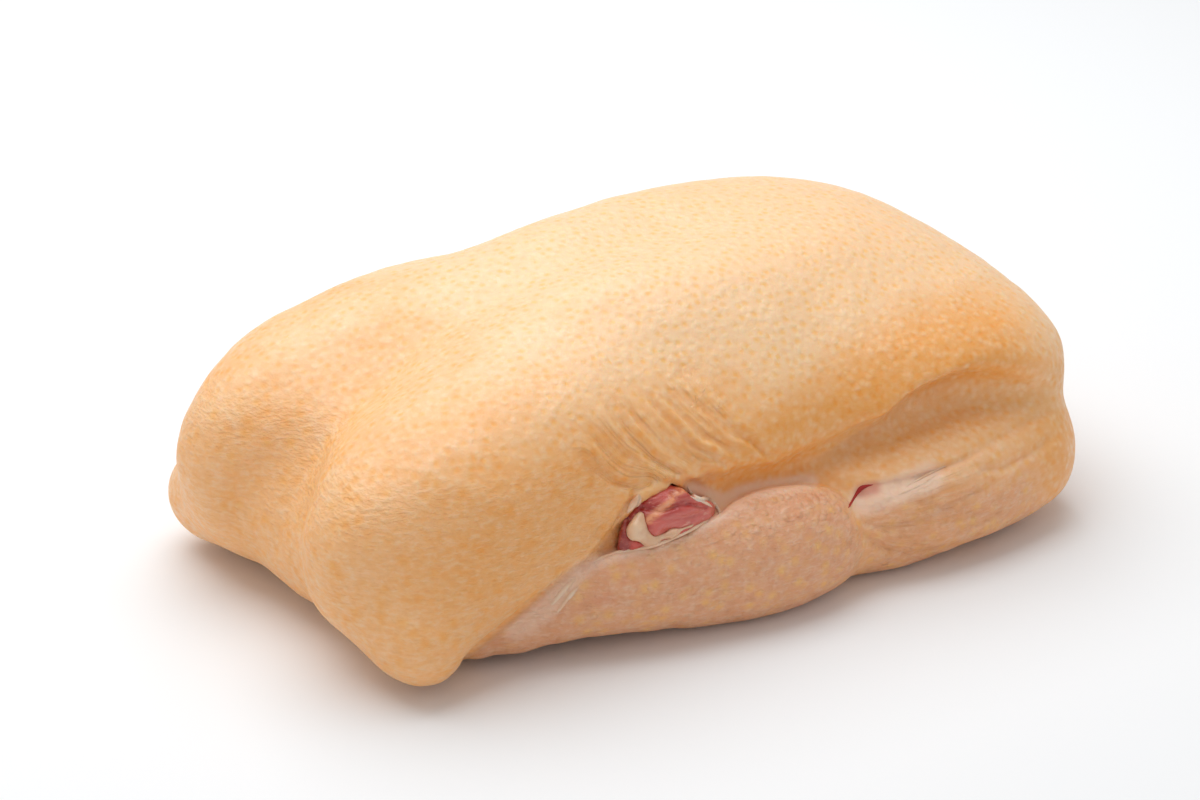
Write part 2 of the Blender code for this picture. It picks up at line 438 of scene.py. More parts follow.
FLAP_FRONT = -0.030  # the flap hangs only behind this, along the body
OPENING_LIP = 0.0004  # the skin is opened this much wider than the path says
SLIT_LINE = (
    (0.0185, 0.0965, 0.0352), (0.0260, 0.0950, 0.0352), (0.0400, 0.0985, 0.0362), (0.0570, 0.1010, 0.0385),
    (0.0690, 0.1015, 0.0398),
)
SLIT_LINE_RADII = (0.0036, 0.0032, 0.0016, 0.0010, 0.0006)


def beyond(p, side, path):
    """Distance from the sheet of sight lines through a path: over zero below it in the picture."""
    u, v = in_picture(p, side)
    away, along, beside = from_path(u, v, path)
    return beside * away / PIXELS_PER_METRE


def sight_line(u, v):
    """Direction from the eye through a place in the picture."""
    across, up = (u - PICTURE[0] / 2) / FOCAL, (PICTURE[1] / 2 - v) / FOCAL
    sight = FORWARD + RIGHTWARD * across + UPWARD * up
    return sight / np.linalg.norm(sight)


def hit(field, u, v, side):
    """The point where the sight line through a place in the picture meets a distance field."""
    sight = sight_line(u, v)
    far = VIEW_DISTANCE - 0.20
    for step in range(80):
        at = EYE + sight * far
        far += 0.8 * float(field((at[0], -side * at[1], at[2]), side))
    at = EYE + sight * far
    return at[0], abs(at[1]), at[2]


GRISTLE_POINTS = [hit(meat_shape, u, v, LEFT) for u, v in GRISTLE]


def gristle_shape(p, side):
    return chain(p, GRISTLE_POINTS, GRISTLE_RADII, side, 0.003)


def stump(p, side):
    """The cut wing end as a whole, meat and gristle together."""
    return smooth_min(meat_shape(p, side), gristle_shape(p, side), 0.001)


def outside_opening(p, side):
    """Over zero where the skin would cover the cut wing end in the picture."""
    return smooth_max(-beyond(p, side, OPENING), beyond(p, side, WING_RIM), 0.0006)


def wing_with_rim(p, side):
    """The wing with its cut end, and the fold of skin that joins it to the shoulder."""
    shape = smooth_max(wing(p, side), -beyond(p, side, WING_RIM), 0.0015)
    join = chain(p, ((-0.006, 0.0800, 0.0150), (0.052, 0.0810, 0.0165)), (0.0150, 0.0160), side, 0.004)
    return smooth_min(shape, join, 0.006)


def skin(p):
    """Distance to the whole skin: under zero inside."""
    body = trunk(p)
    for side in (LEFT, RIGHT):
        body = smooth_min(body, front(p, side), 0.016)
        centre = at_side((0.060, 0.1020, 0.0520), side)
        hollow = ellipsoid(p, centre, (0.062, 0.0210, 0.0215), pitch=-2.0, power=2.6)
        to_front = step_up(p[0], 0.064, 0.104)
        hollow = smooth_max(hollow, -beyond(p, side, RIDGE), 0.003) + 0.012 * step_up(p[0], 0.066, 0.122)
        body = smooth_max(body, -hollow, 0.0012 + 0.012 * to_front)
        body = smooth_max(body, -chain(p, BEHIND_WING, BEHIND_WING_RADII, side, 0.004), 0.005)
        pocket = smooth_max(stump(p, side) - POCKET_GAP, outside_opening(p, side) - OPENING_LIP, 0.0008)
        body = smooth_max(body, -pocket, 0.001)
        body = smooth_min(body, shoulder(p, side), 0.008)
        body = smooth_max(body, -chain(p, SLIT_LINE, SLIT_LINE_RADII, side, 0.002), 0.0015)
        softer = 0.010 * step_up(p[0], 0.006, 0.034) * (1.0 - step_up(p[2], 0.022, 0.036))
        body = smooth_min(body, wing_with_rim(p, side), 0.002 + softer)
        cover = smooth_min(wing(p, side), stump(p, side), 0.003) - FLAP_THICKNESS
        flap = smooth_max(cover, beyond(p, side, FLAP_EDGE), 0.002)
        flap = smooth_max(flap, p[0] - FLAP_FRONT, 0.002)
        body = smooth_min(body, flap, 0.004)
    return smooth_max(body, -p[2], 0.003)


# %% The skin's mesh
SKIN_CELL = 1.0 * MM
SKIN_TRIANGLES = 192000
SKIN_BOX = ((-0.165, -0.120, -0.008), (0.155, 0.120, 0.112))

points, quads = surface_of(skin, SKIN_CELL, *SKIN_BOX)
duck_skin = mesh_object("duck_skin", points, quads)
print("skin quads:", len(quads))

# %% [markdown]
# ## Wrinkles and creases
#
# Plucked skin is loose. Over the flank it is drawn into a fan of wrinkles that run together above
# the cut wing, and folds cross the shoulder. These are moved into the mesh along its normals, as
# heights in millimetres: a groove is a dent with a soft profile along a path in the picture, and
# each wrinkle of the fan is such a groove with a low rise beside it.

# %% Heights of the skin's relief
UPPER_WRINKLE = ((690, 372), (712, 400), (738, 428), (772, 448), (806, 452))
LOWER_WRINKLE = ((583, 462), (596, 476), (611, 487), (630, 490), (650, 484))
MIDDLE_WRINKLE = ((600, 384), (624, 424), (654, 456), (697, 479), (745, 484))
WRINKLE_COUNT = 15
VALLEY = (
    (262, 590), (272, 560), (285, 510), (320, 440), (375, 385), (430, 335), (480, 305), (560, 265),
    (640, 240), (720, 215),
)
# Each groove: its path in the picture, its half width in pixels, its depth in millimetres, its tint: how much
# painted shade darkens the skin along it.
GROOVES = (
    (((945, 466), (915, 482), (890, 500), (872, 517), (864, 530)), 6.0, 0.5, 0.0),
    (((958, 462), (975, 452), (1010, 432), (1035, 417), (1063, 404)), 5.0, 0.7, 0.15),
    (((862, 487), (880, 484), (920, 475), (950, 466), (975, 454)), 2.6, 0.8, 0.40),
    (((856, 521), (885, 528), (925, 519), (965, 497), (1000, 480)), 5.0, 1.2, 0.18),
    (((856, 527), (880, 546), (915, 556), (950, 548)), 5.0, 1.1, 0.18),
    (((975, 470), (1005, 468), (1035, 452), (1060, 430)), 5.0, 1.0, 0.12),
    (((905, 500), (940, 505), (985, 515), (1015, 505)), 5.0, 0.9, 0.12),
    (FLAP_EDGE, 3.4, 2.0, 0.75),
)


def wrinkle_paths():
    """Paths that flow from the flank down to the cut wing, spread between an upper and a lower one."""
    chance = np.random.default_rng(4)
    upper, middle, lower = (np.array(path, float) for path in (UPPER_WRINKLE, MIDDLE_WRINKLE, LOWER_WRINKLE))
    paths = []
    for k in range(WRINKLE_COUNT):
        share = (k + chance.uniform(-0.25, 0.25)) / (WRINKLE_COUNT - 1) * 2.0
        edge = upper if share < 1.0 else lower
        path = middle + (edge - middle) * abs(share - 1.0)
        path = path + chance.uniform(-2.5, 2.5, path.shape)
        first = chance.uniform(0.0, 0.25)
        last = chance.uniform(0.70, 1.0)
        paths.append((path.tolist(), first, last, chance.uniform(0.5, 1.1), chance.uniform(3.0, 4.4)))
    return paths


WRINKLES = wrinkle_paths()


def relief(p):
    """Height of the skin's relief in metres."""
    x, y, z = p
    height = 0.55 * noise(p, 0.028, 1) + 0.30 * noise(p, 0.012, 2) + 0.13 * noise(p, 0.0052, 3)
    at_flank = step_up(np.abs(y), 0.030, 0.045)
    u, v = in_picture((x, -np.abs(y), z))
    wobble_u = u + 2.5 * noise(p, 0.006, 8)
    wobble_v = v + 2.5 * noise(p, 0.006, 9)
    for path, first, last, depth, width in WRINKLES:
        away, along, beside = from_path(wobble_u, wobble_v, path)
        fade = step_up(along, first, first + 0.2) * (1.0 - step_up(along, last - 0.25, last))
        profile = 0.45 * falloff(away - 2.0 * width, width) - falloff(away, width)
        height += at_flank * depth * fade * profile
    low_front = at_flank * step_up(x, 0.028, 0.050) * (1.0 - step_up(z, 0.034, 0.050))
    height += 1.1 * low_front * noise((x * 0.7, y, z), 0.013, 5)
    for path, width, depth, tint in GROOVES:
        away, along, beside = from_path(u, v, path)
        fade = step_up(along, 0.0, 0.12) * (1.0 - step_up(along, 0.80, 1.0))
        height -= at_flank * depth * fade * falloff(away, width)
    u, v = in_picture(p)
    away, along, beside = from_path(u, v, VALLEY)
    height -= 0.9 * falloff(away, 9.0) * (1.0 - step_up(along, 0.55, 0.95)) * step_up(z, 0.02, 0.035)
    return height * MM * step_up(z, 0.0005, 0.004)


points = points_of(duck_skin)
move_points(duck_skin, points + normals_of(duck_skin) * relief(tuple(points.T))[:, None])
thinned(duck_skin, SKIN_TRIANGLES)
print("skin triangles:", triangles_of(duck_skin))

# %% [markdown]
# ## Where the skin changes colour
#
# Duck skin is yellow-orange where fat lies under it, pale over the breast, pink where it is thin,
# as on the wing, and raw at the slit by the shoulder. Painted light and shade are laid in as masks
# too: skin that faces up is paler, partly as painted light, and creases, the gap at the flap and
# the skin under the ridge are darker, as painted shade. Each of these is a soft mask, stored on the
# mesh as a number per point, and the material mixes its colours by them. Fine wrinkles flow in two
# fans, over the flank and over the shoulder, and each point keeps its place in them.

# %% Paths of the masks
LEG_BAND = ((470, 560), (560, 500), (640, 440), (720, 420))
ORANGE_BAND = ((770, 474), (800, 450), (840, 434), (870, 408), (900, 384), (940, 360), (975, 352))
ORANGE_CORNER = ((1050, 430), (1066, 448), (1062, 482))
ORANGE_PATCH = ((598, 591), (618, 586))
PALE_STRIP = ((692, 490), (706, 495), (722, 503), (745, 492), (780, 486), (810, 482))
SINEW = ((582, 570), (560, 590), (543, 613), (515, 632))
SLIT_MEMBRANE = ((866, 501), (895, 491), (928, 478))
SLIT_RED = ((861, 491), (874, 488))
RED_PATCHES = (((624, 579), (634, 578)), ((598, 600), (610, 598)))
# Painted shade lies along this path, in the gap under the flap's edge.
FLAP_GAP_SHADE = ((584, 566), (600, 556), (614, 545))
SHOULDER_FAN = (
    ((868, 510), (900, 497), (940, 480), (980, 464), (1035, 436)),
    ((862, 522), (898, 525), (938, 519), (985, 504), (1040, 470)),
    ((862, 534), (886, 552), (922, 560), (965, 552), (1020, 520)),
)


# %% Fans of fine wrinkles
def wrinkle_fan(p, paths, start, end):
    """Place across and along a fan of wrinkles between three paths, and how strongly they show."""
    u, v = in_picture((p[0], -np.abs(p[1]), p[2]))
    flank = step_up(np.abs(p[1]), 0.030, 0.050)
    upper, middle, lower = (from_path(u, v, path) for path in paths)
    above = upper[0] / (upper[0] + middle[0] + 1e-6)
    below = 1.0 + middle[0] / (middle[0] + lower[0] + 1e-6)
    across = np.where(middle[2] < 0.0, above, below)
    strength = 1.0 - np.where(upper[2] < 0.0, step_up(upper[0], 0.0, 14.0), 0.0)
    strength *= 1.0 - np.where(lower[2] > 0.0, step_up(lower[0], 0.0, 8.0), 0.0)
    nearest = np.minimum(np.minimum(upper[0], middle[0]), lower[0])
    strength *= 1.0 - step_up(nearest, 22.0, 36.0)
    strength *= step_up(middle[1], 0.0, start) * (1.0 - step_up(middle[1], end, 1.0)) * flank
    return across, middle[1], strength


# %% The masks
def skin_masks(p):
    x, y, z = p
    u, v = in_picture((x, -np.abs(y), z))
    flank = step_up(np.abs(y), 0.030, 0.050)
    soft = 3.0 * noise(p, 0.010, 11)
    rim = from_path(u, v, WING_RIM)
    flap = from_path(u, v, FLAP_EDGE)
    below_rim = np.where(rim[2] > 0, rim[0], -rim[0])
    below_flap = np.where(flap[2] > 0, flap[0], -flap[0])

    # Parts of the bird.
    corner = near_path(u, v, ORANGE_CORNER, 10, 46)
    on_wing = step_up(below_rim + soft, -4, 6) * step_up(below_flap, -2, 3)
    on_wing = on_wing * (1.0 - step_up(x, 0.010, 0.040)) * flank
    on_shoulder = step_up(x, 0.006, 0.034) * (1.0 - step_up(z + 0.001 * soft, 0.022, 0.044)) * flank
    on_shoulder = on_shoulder * (1.0 - 0.8 * corner)
    in_hollow = flank * step_up(x, 0.005, 0.030) * step_up(z, 0.030, 0.042)
    in_hollow = in_hollow * (1.0 - step_up(z + 0.001 * soft, 0.052, 0.062))

    # Fat under the skin.
    orange = flank * near_path(u, v, ORANGE_BAND, 22, 96)
    orange = np.maximum(orange, 0.60 * flank * near_path(u, v, LEG_BAND, 10, 95))
    orange = np.maximum(orange, 0.06 * step_up(x, 0.0, 0.050))
    orange = np.maximum(orange, 0.9 * corner)
    orange = np.maximum(orange, 0.8 * near_path(u, v, ORANGE_PATCH, 2, 9))

    # Thin tissue and raw places.
    membrane = flank * near_path(u, v, SLIT_MEMBRANE, 7, 22)
    membrane = np.maximum(membrane, 0.9 * flank * near_path(u, v, PALE_STRIP, 4, 12))
    membrane = np.maximum(membrane, 0.65 * flank * near_path(u, v, SINEW, 5, 14))
    fatty = flank * falloff(below_rim - 3.0, 6.0)
    membrane = np.maximum(membrane, fatty * step_up(u, 560, 580) * (1.0 - step_up(u, 720, 775)))
    raw = 0.55 * flank * near_path(u, v, SLIT_RED, 1.0, 11.0) * step_up(x, 0.010, 0.016)
    patches = sum(near_path(u, v, path, 2, 8) for path in RED_PATCHES)
    raw = np.maximum(raw, 0.14 * flank * np.minimum(patches, 1.0))

    # Painted shade: creases are darkened, and so are the gap at the flap and the skin just under the ridge,
    # where shade falls.
    painted_crease_shade = 0.0 * x
    for path, width, depth, tint in GROOVES:
        away, along, beside = from_path(u, v, path)
        ends = step_up(along, 0.0, 0.15) * (1.0 - step_up(along, 0.75, 1.0))
        painted_crease_shade = np.maximum(painted_crease_shade, tint * flank * ends * falloff(away, 0.8 * width))
    gap = near_path(u, v, FLAP_GAP_SHADE, 2, 9) * (below_flap > -4)
    painted_crease_shade = np.maximum(painted_crease_shade, 0.8 * flank * gap)
    # Painted shadow on the skin under the overhang of the ridge.
    away, along, beside = from_path(u, v, RIDGE)
    under = falloff(away, 16.0) * step_up(beside * away, -1.5, 1.0)
    under = under * step_up(u, 780, 860) * (1.0 - step_up(u, 935, 1000))
    painted_crease_shade = np.maximum(painted_crease_shade, 0.55 * flank * under)
    return {
        "painted_crease_shade": painted_crease_shade,
        "wing_pink": np.maximum(on_wing, 0.8 * on_shoulder),
        "tan": in_hollow * (1.0 - on_shoulder),
        "orange": orange * (1.0 - 0.85 * on_wing),
        "raw": raw,
        "membrane": membrane,
    }


# %% Numbers kept on the skin
points = tuple(points_of(duck_skin).T)
masks = skin_masks(points)
for name, values in masks.items():
    store(duck_skin, name, values)
# Painted light: skin that faces up is laid paler, less so towards the tail; this is partly the breast's own
# pale tone.
tail_end = 1.0 - 0.6 * (1.0 - step_up(points[0], -0.11, -0.03))
store(duck_skin, "pale_and_lit_top", step_up(normals_of(duck_skin)[:, 2], 0.10, 0.95) * tail_end)
fan = wrinkle_fan(points, (UPPER_WRINKLE, MIDDLE_WRINKLE, LOWER_WRINKLE), 0.30, 0.75)
shoulder_fan = wrinkle_fan(points, SHOULDER_FAN, 0.30, 0.55)
# Wider folds than over the flank, from another part of the noise, and a little weaker.
shoulder_fan = (0.60 * shoulder_fan[0] + 5.0, shoulder_fan[1], 0.9 * shoulder_fan[2])
fan = [np.where(shoulder_fan[2] > fan[2], b, a) for a, b in zip(fan, shoulder_fan)]
for name, values in zip(("fan_across", "fan_along", "fan_strength"), fan):
    store(duck_skin, name, values)
bare = np.maximum(masks["membrane"], masks["raw"])
at_leg = (1.0 - step_up(points[0], -0.085, -0.045)) * (1.0 - step_up(points[2], 0.060, 0.078))
sparse = np.maximum(0.60 * at_leg, 0.40 * masks["wing_pink"])
store(duck_skin, "sparse", sparse)
store(duck_skin, "pores", (1.0 - bare) * (1.0 - sparse) * step_up(points[2], 0.002, 0.006))

# %% [markdown]
# ## Feather follicles
#
# Each plucked feather leaves a small orange spot in a dimple, with the skin risen around it. They
# stand about three millimetres apart, never much closer, which is what Poisson-disk scattering
# gives. A node tree scatters the points over the skin, dents the mesh at each, and writes on every
# face where its nearest follicle is. The material then draws a soft round spot from that, finer
# than the mesh itself.

# %% Node tree helpers
def wired(tree, kind, inputs, **settings):
    """A new node, with each of its inputs linked to a socket or set to a value."""
    node = tree.nodes.new(kind)
    for key, value in settings.items():
        setattr(node, key, value)
    for name, value in inputs.items():
        if isinstance(value, bpy.types.NodeSocket):
            tree.links.new(value, node.inputs[name])
        else:
            node.inputs[name].default_value = value
    return node


def math_node(tree, operation, a, b=None, clamp=False):
    inputs = {0: a} if b is None else {0: a, 1: b}
    return wired(tree, "ShaderNodeMath", inputs, operation=operation, use_clamp=clamp).outputs[0]


def times(tree, a, b, clamp=False):
    return math_node(tree, "MULTIPLY", a, b, clamp)


def plus(tree, a, b):
    return math_node(tree, "ADD", a, b)


def bell(tree, away, width):
    """1 at no distance, falling softly to 0 over about twice the width."""
    share = math_node(tree, "DIVIDE", away, width)
    return math_node(tree, "EXPONENT", times(tree, times(tree, share, share), -1.0))


def distance(tree, a, b):
    return wired(tree, "ShaderNodeVectorMath", {0: a, 1: b}, operation="DISTANCE").outputs["Value"]


def start_tree(name, inputs, result):
    """A Geometry Nodes tree with named inputs and one named result, and its input sockets."""
    tree = bpy.data.node_groups.new(name, "GeometryNodeTree")
    for label, kind in inputs:
        tree.interface.new_socket(label, in_out="INPUT", socket_type="NodeSocket" + kind)
    tree.interface.new_socket(result, in_out="OUTPUT", socket_type="NodeSocketGeometry")
    return tree, wired(tree, "NodeGroupInput", {}).outputs


def end_tree(tree, geometry, finish):
    """Turns instances into real mesh, paints it, and gives it out."""
    real = wired(tree, "GeometryNodeRealizeInstances", {0: geometry}).outputs[0]
    painted = wired(tree, "GeometryNodeSetMaterial", {"Geometry": real, "Material": finish}).outputs[0]
    wired(tree, "NodeGroupOutput", {0: painted})


def use_tree(obj, tree, inputs):
    """Runs a node tree on an object, with its inputs by name, and keeps the result as a mesh."""
    modifier = obj.modifiers.new(tree.name, "NODES")
    modifier.node_group = tree
    for item in tree.interface.items_tree:
        if item.item_type == "SOCKET" and item.in_out == "INPUT" and item.name in inputs:
            modifier[item.identifier] = inputs[item.name]
    return baked(obj)


# %% Follicle tree
def follicle_tree():
    inputs = (
        ("Skin", "Geometry"), ("Spacing", "Float"), ("Width", "Float"), ("Depth", "Float"),
        ("Most per square metre", "Float"), ("Seed", "Int"), ("Finish", "Material"),
    )
    tree, given = start_tree("Feather follicles", inputs, "Dimpled skin")
    pores = wired(tree, "GeometryNodeInputNamedAttribute", {"Name": "pores"}, data_type="FLOAT").outputs[0]
    scattered = wired(
        tree,
        "GeometryNodeDistributePointsOnFaces",
        {
            "Mesh": given["Skin"], "Distance Min": given["Spacing"], "Density Factor": pores,
            "Density Max": given["Most per square metre"], "Seed": given["Seed"],
        },
        distribute_method="POISSON",
    ).outputs["Points"]

    # From any place on the skin, the place of the follicle nearest to it.
    place = wired(tree, "GeometryNodeInputPosition", {}).outputs[0]
    inputs = {"Geometry": scattered, "Sample Position": place}
    nearest = wired(tree, "GeometryNodeSampleNearest", inputs, domain="POINT").outputs["Index"]
    inputs = {"Geometry": scattered, "Value": place, "Index": nearest}
    kind = {"data_type": "FLOAT_VECTOR", "domain": "POINT"}
    pick = wired(tree, "GeometryNodeSampleIndex", inputs, **kind).outputs[0]
    inputs = {"Geometry": given["Skin"], "Name": "follicle", "Value": pick}
    kind = {"data_type": "FLOAT_VECTOR", "domain": "FACE"}
    kept = wired(tree, "GeometryNodeStoreNamedAttribute", inputs, **kind).outputs[0]

    # The dimple, with the skin a little risen between the follicles.
    rise = math_node(tree, "SUBTRACT", 0.45, bell(tree, distance(tree, place, pick), given["Width"]))
    rise = times(tree, rise, times(tree, given["Depth"], pores))
    outward = wired(tree, "GeometryNodeInputNormal", {}).outputs[0]
    shift = wired(tree, "ShaderNodeVectorMath", {0: outward, "Scale": rise}, operation="SCALE").outputs[0]
    dented = wired(tree, "GeometryNodeSetPosition", {"Geometry": kept, "Offset": shift}).outputs[0]
    end_tree(tree, dented, given["Finish"])
    return tree


# %% [markdown]
# ## The skin's finish
#
# Under soft light raw skin is a muted peach, moist but not shiny, with light soaking a little way
# in. Its colour comes from the masks, broken up by patches of fat at two scales, then by the
# follicles. Fine wrinkles and pores are bump, since they are thinner than the mesh can hold.

# %% Helpers for materials
def attribute(tree, name, output="Fac"):
    kind = {"attribute_type": "GEOMETRY", "attribute_name": name}
    return wired(tree, "ShaderNodeAttribute", {}, **kind).outputs[output]


def mixed(tree, share, a, b, blend="MIX"):
    """A mix of two colours, each a socket or three numbers."""
    a, b = ((*colour, 1.0) if isinstance(colour, tuple) else colour for colour in (a, b))
    inputs = {0: share, 6: a, 7: b}
    return wired(tree, "ShaderNodeMix", inputs, data_type="RGBA", blend_type=blend).outputs[2]


def texture_noise(tree, where, scale, detail=2.0, roughness=0.5, stretch=None):
    if stretch:
        where = wired(tree, "ShaderNodeMapping", {"Vector": where, "Scale": stretch}).outputs[0]
    inputs = {"Vector": where, "Scale": scale, "Detail": detail, "Roughness": roughness}
    return wired(tree, "ShaderNodeTexNoise", inputs).outputs[0]


def ranged(tree, value, start, end, low=0.0, high=1.0):
    """Maps a value from start..end to low..high, smoothly, and holds it there outside."""
    inputs = {"Value": value, "From Min": start, "From Max": end, "To Min": low, "To Max": high}
    return wired(tree, "ShaderNodeMapRange", inputs, interpolation_type="SMOOTHSTEP").outputs[0]


def material(name, roughness):
    """A new material, its tree, its shader, and the place on the piece that its patterns follow."""
    made = bpy.data.materials.new(name)
    made.use_nodes = True
    tree = made.node_tree
    shader = tree.nodes["Principled BSDF"]
    shader.inputs["Roughness"].default_value = roughness
    return made, tree, shader, wired(tree, "ShaderNodeTexCoord", {}).outputs["Object"]


def soaked(shader, weight, reach, depth):
    """Lets light soak a little way in, red the furthest."""
    shader.inputs["Subsurface Weight"].default_value = weight
    shader.inputs["Subsurface Radius"].default_value = reach
    shader.inputs["Subsurface Scale"].default_value = depth


def wet(shader, film, roughness):
    """Lays a film of moisture over the finish."""
    shader.inputs["Coat Weight"].default_value = film
    shader.inputs["Coat Roughness"].default_value = roughness


def raised(tree, shader, height, strength, distance):
    """Relief too fine for the mesh, as bump."""
    inputs = {"Strength": strength, "Distance": distance, "Height": height}
    tree.links.new(wired(tree, "ShaderNodeBump", inputs).outputs[0], shader.inputs["Normal"])


# %% Colours of the skin
FAT = (0.98, 0.50, 0.195)
PALE = (0.99, 0.640, 0.365)
ORANGE = (0.88, 0.39, 0.085)
TAN = (0.86, 0.46, 0.18)
PINK = (0.77, 0.365, 0.20)
FLECK = (0.97, 0.76, 0.52)
# Paler tops of the small bumps: partly the skin's own pale blobs, partly a painted highlight.
PALE_BLOB_AND_HIGHLIGHT = (1.0, 0.80, 0.56)
# Painted highlight on the crepe's rises, and painted shade in its hollows.
CREPE_HIGHLIGHT = (1.0, 0.80, 0.60)
CREPE_SHADE = (0.80, 0.36, 0.14)
SPOT_TINT = (1.0, 0.82, 0.42)
WING_SPOT = (0.92, 0.50, 0.15)
BROWN_SPOT = (0.74, 0.32, 0.15)
MEMBRANE = (0.95, 0.68, 0.52)
# Painted shade for creases, the flap's gap and the skin under the ridge.
CREASE_SHADE = (0.52, 0.18, 0.08)
RAW = (0.62, 0.10, 0.07)
# Painted shade for the valleys of the folds.
FOLD_VALLEY_SHADE = (0.78, 0.33, 0.10)
SPOT_WIDTH = 1.15 * MM
SPOT_UNEVEN = 0.7 * MM  # how far fine noise shifts a spot's edge
SPARSE_SPOT_GROWTH = 1.3  # spots on the leg and the wing are fewer and larger


# %% The skin's material
def skin_material():
    made, tree, shader, where = material("duck skin", 0.42)
    sparse, wing_pink = attribute(tree, "sparse"), attribute(tree, "wing_pink")
    dense = math_node(tree, "SUBTRACT", 1.0, sparse, clamp=True)
    shown = math_node(tree, "SUBTRACT", 1.0, attribute(tree, "membrane"))

    # The ground colour: each mask in turn lays its own over the fat.
    patch = texture_noise(tree, where, 45.0, 3.0)
    mottle = texture_noise(tree, where, 260.0, 2.0, 0.6)
    # Painted light: where the skin faces up it turns from fat to pale, partly the breast's own pale tone,
    # partly painted light from above.
    pale_and_lit_top = plus(tree, attribute(tree, "pale_and_lit_top"), math_node(tree, "SUBTRACT", patch, 0.5))
    colour = mixed(tree, ranged(tree, pale_and_lit_top, 0.05, 0.95), FAT, PALE)
    for mask, share, tint in (("orange", 0.95, ORANGE), ("tan", 0.8, TAN), ("wing_pink", 0.9, PINK)):
        colour = mixed(tree, times(tree, attribute(tree, mask), share), colour, tint)
    colour = mixed(tree, ranged(tree, mottle, 0.38, 0.72, 0.0, 0.15), colour, FLECK)

    # Low round bumps between the follicles, paler on top, partly the skin's own pale blobs and partly
    # a painted highlight; and the crepe of thin skin on the leg and the wing, with a painted highlight
    # on its rises and painted shade in its hollows.
    cells = wired(tree, "ShaderNodeTexVoronoi", {"Vector": where, "Scale": 330.0}, feature="F1")
    pebble = ranged(tree, cells.outputs["Distance"], 0.10, 0.60, 1.0, 0.0)
    crepe = texture_noise(tree, where, 520.0, 3.0, 0.6, (0.6, 0.6, 1.7))
    crisp = ranged(tree, sparse, 0.0, 0.4, 0.25, 1.0)
    # Painted highlight on the bump tops, over the skin's own pale blobs.
    colour = mixed(tree, times(tree, pebble, times(tree, dense, 0.20)), colour, PALE_BLOB_AND_HIGHLIGHT)
    colour = mixed(tree, times(tree, ranged(tree, crepe, 0.48, 0.66, 0.0, 0.18), crisp), colour, CREPE_HIGHLIGHT)
    colour = mixed(tree, times(tree, ranged(tree, crepe, 0.36, 0.50, 0.18, 0.0), crisp), colour, CREPE_SHADE)

    # A spot at each follicle, stronger or weaker by chance, and on the wing now and then brown.
    follicle = attribute(tree, "follicle", "Vector")
    fine = texture_noise(tree, where, 700.0, 1.0)
    shift = times(tree, math_node(tree, "SUBTRACT", fine, 0.5), SPOT_UNEVEN)
    away = plus(tree, distance(tree, where, follicle), shift)
    away = math_node(tree, "DIVIDE", away, plus(tree, times(tree, sparse, SPARSE_SPOT_GROWTH), 1.0))
    chance = wired(tree, "ShaderNodeTexWhiteNoise", {"Vector": follicle}, noise_dimensions="3D")
    luck = ranged(tree, chance.outputs["Value"], 0.0, 1.0, 0.30, 0.95)
    strength = times(tree, times(tree, bell(tree, away, SPOT_WIDTH), luck), shown)
    strength = times(tree, strength, ranged(tree, sparse, 0.0, 0.6, 0.90, 0.80))
    deeper = mixed(tree, 1.0, colour, SPOT_TINT, "MULTIPLY")
    spot_colour = mixed(tree, times(tree, wing_pink, 1.2, clamp=True), deeper, WING_SPOT)
    brown = times(tree, ranged(tree, chance.outputs["Color"], 0.45, 0.75), wing_pink)
    colour = mixed(tree, strength, colour, mixed(tree, brown, spot_colour, BROWN_SPOT))

    # Tissue, creases and raw edges, and folds that flow along the fans of wrinkles, with painted shade in
    # their valleys.
    colour = mixed(tree, times(tree, attribute(tree, "membrane"), 0.75), colour, MEMBRANE)
    # Painted shade in the creases.
    colour = mixed(tree, times(tree, attribute(tree, "painted_crease_shade"), 0.42), colour, CREASE_SHADE)
    colour = mixed(tree, attribute(tree, "raw"), colour, RAW)
    inputs = {0: attribute(tree, "fan_across"), 1: attribute(tree, "fan_along")}
    fan = wired(tree, "ShaderNodeCombineXYZ", inputs).outputs[0]
    folds = texture_noise(tree, fan, 1.0, 2.0, 0.5, (7.0, 2.0, 1.0))
    folds = times(tree, ranged(tree, folds, 0.30, 0.70, -1.0, 1.0), attribute(tree, "fan_strength"))
    # Painted shade in the valleys of the folds.
    colour = mixed(tree, times(tree, folds, -0.55, clamp=True), colour, FOLD_VALLEY_SHADE)
    tree.links.new(colour, shader.inputs["Base Color"])

    # Moisture lies unevenly, so the gloss varies with the mottling.
    soaked(shader, 0.25, (1.0, 0.45, 0.20), 4.0 * MM)
    shader.inputs["Coat Roughness"].default_value = 0.25
    tree.links.new(ranged(tree, mottle, 0.3, 0.7, 0.0, 0.16), shader.inputs["Coat Weight"])
    tree.links.new(ranged(tree, mottle, 0.3, 0.7, 0.50, 0.38), shader.inputs["Roughness"])
    dimple = times(tree, ranged(tree, away, 0.1 * MM, 2.2 * MM, -0.06, 0.05), dense)
    dome = times(tree, ranged(tree, away, 0.2 * MM, 1.4 * MM, 0.26, 0.0), wing_pink)
    height = times(tree, plus(tree, dimple, dome), shown)
    height = plus(tree, height, times(tree, crepe, ranged(tree, sparse, 0.0, 0.6, 0.10, 1.20)))
    height = plus(tree, height, times(tree, pebble, plus(tree, times(tree, wing_pink, 0.34), 0.12)))
    height = plus(tree, height, times(tree, texture_noise(tree, where, 1500.0, 1.0), 0.08))
    height = plus(tree, height, times(tree, folds, 0.42))
    raised(tree, shader, height, 0.9, MM)
    return made


